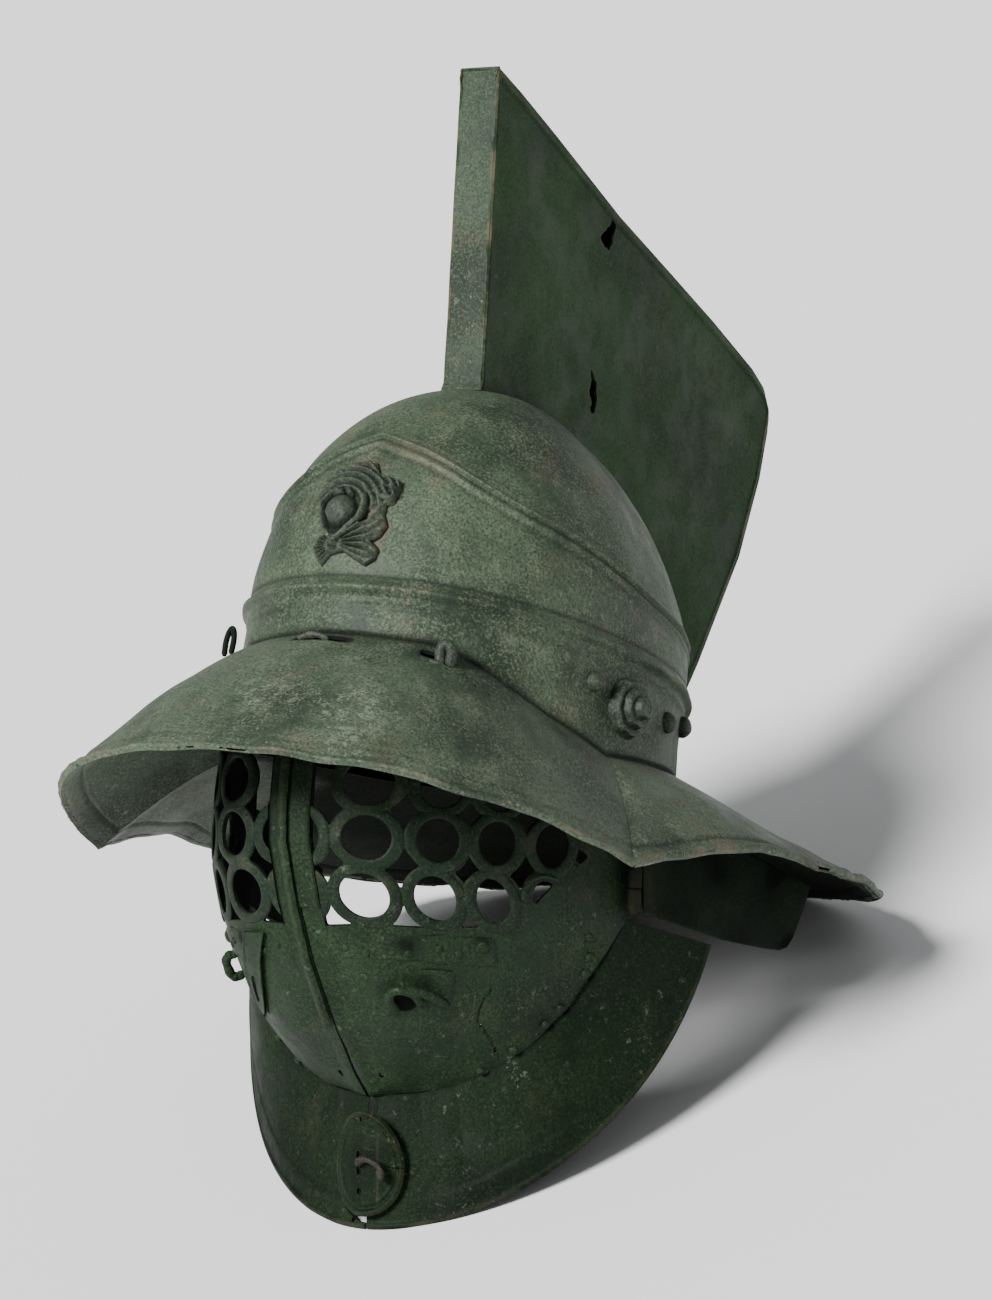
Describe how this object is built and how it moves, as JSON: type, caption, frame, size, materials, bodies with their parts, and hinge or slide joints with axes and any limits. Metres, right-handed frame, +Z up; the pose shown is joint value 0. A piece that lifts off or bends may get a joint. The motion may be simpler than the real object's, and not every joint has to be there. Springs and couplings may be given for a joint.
{
  "type": "gladiator helmet",
  "caption": "Crested bronze gladiator helmet with broad brim, ring-grille visor in two hinged halves and throat flanges, resting leant back on chin and nape.",
  "frame": {"origin": "centre of the helmet's bounding box at floor level, on the plane between its left and right halves", "axes": "-Y the way the face looks, laid back to rest on the throat flanges and the nape of the neck guard; +X the wearer's left; +Z up"},
  "size_m": [0.3048, 0.474, 0.3991],
  "materials": {
    "bronze_patina": "mottled grey-green bronze patina with pale speckles",
    "bronze_dark": "dark green to brown bronze patina",
    "iron_rust": "rust brown corroded iron"
  },
  "bodies": {
    "shell": {"bowl": "bronze_patina", "front_brim": "bronze_patina", "rear_brim": "bronze_patina", "crest_plate_left": "bronze_patina", "crest_plate_right": "bronze_patina", "crest_front_strip": "bronze_patina", "crest_edge_strip": "bronze_patina", "brow_relief": "bronze_dark", "stud_front_left": "bronze_patina", "stud_front_right": "bronze_patina", "rosette_left": "bronze_patina", "rosette_right": "bronze_patina", "stud_rear_left": "bronze_patina", "stud_rear_right": "bronze_patina", "stud_nape_left": "bronze_patina", "stud_nape_right": "bronze_patina", "brow_loop_right": "bronze_dark", "brow_pin": "bronze_dark", "brow_staple_left": "bronze_dark", "hinge_barrel_left": "bronze_dark", "hinge_barrel_right": "bronze_dark", "wing_left": "bronze_dark", "wing_right": "bronze_dark"},
    "visor_half_left": {"visor_left": "bronze_patina", "flange_left": "bronze_patina", "cheek_band_left": "bronze_patina", "staple_plate_left": "bronze_patina", "staple_left": "bronze_dark", "clasp_disc": "bronze_patina", "clasp_bar": "iron_rust"},
    "visor_half_right": {"visor_right": "bronze_patina", "flange_right": "bronze_patina", "cheek_band_right": "bronze_patina", "staple_right": "bronze_dark", "hasp_right": "bronze_dark", "seam_rib_right": "bronze_dark"}
  },
  "joints": [
    {"name": "hinge_left", "type": "hinge", "parent": "shell", "child": "visor_half_left", "pos_m": [0.0988, -0.1095, 0.10783], "axis": [0, 0.503, 0.8643], "range_deg": [0, 16]},
    {"name": "hinge_right", "type": "hinge", "parent": "shell", "child": "visor_half_right", "pos_m": [-0.0988, -0.1095, 0.10783], "axis": [0, -0.503, -0.8643], "range_deg": [0, 16]}
  ]
}
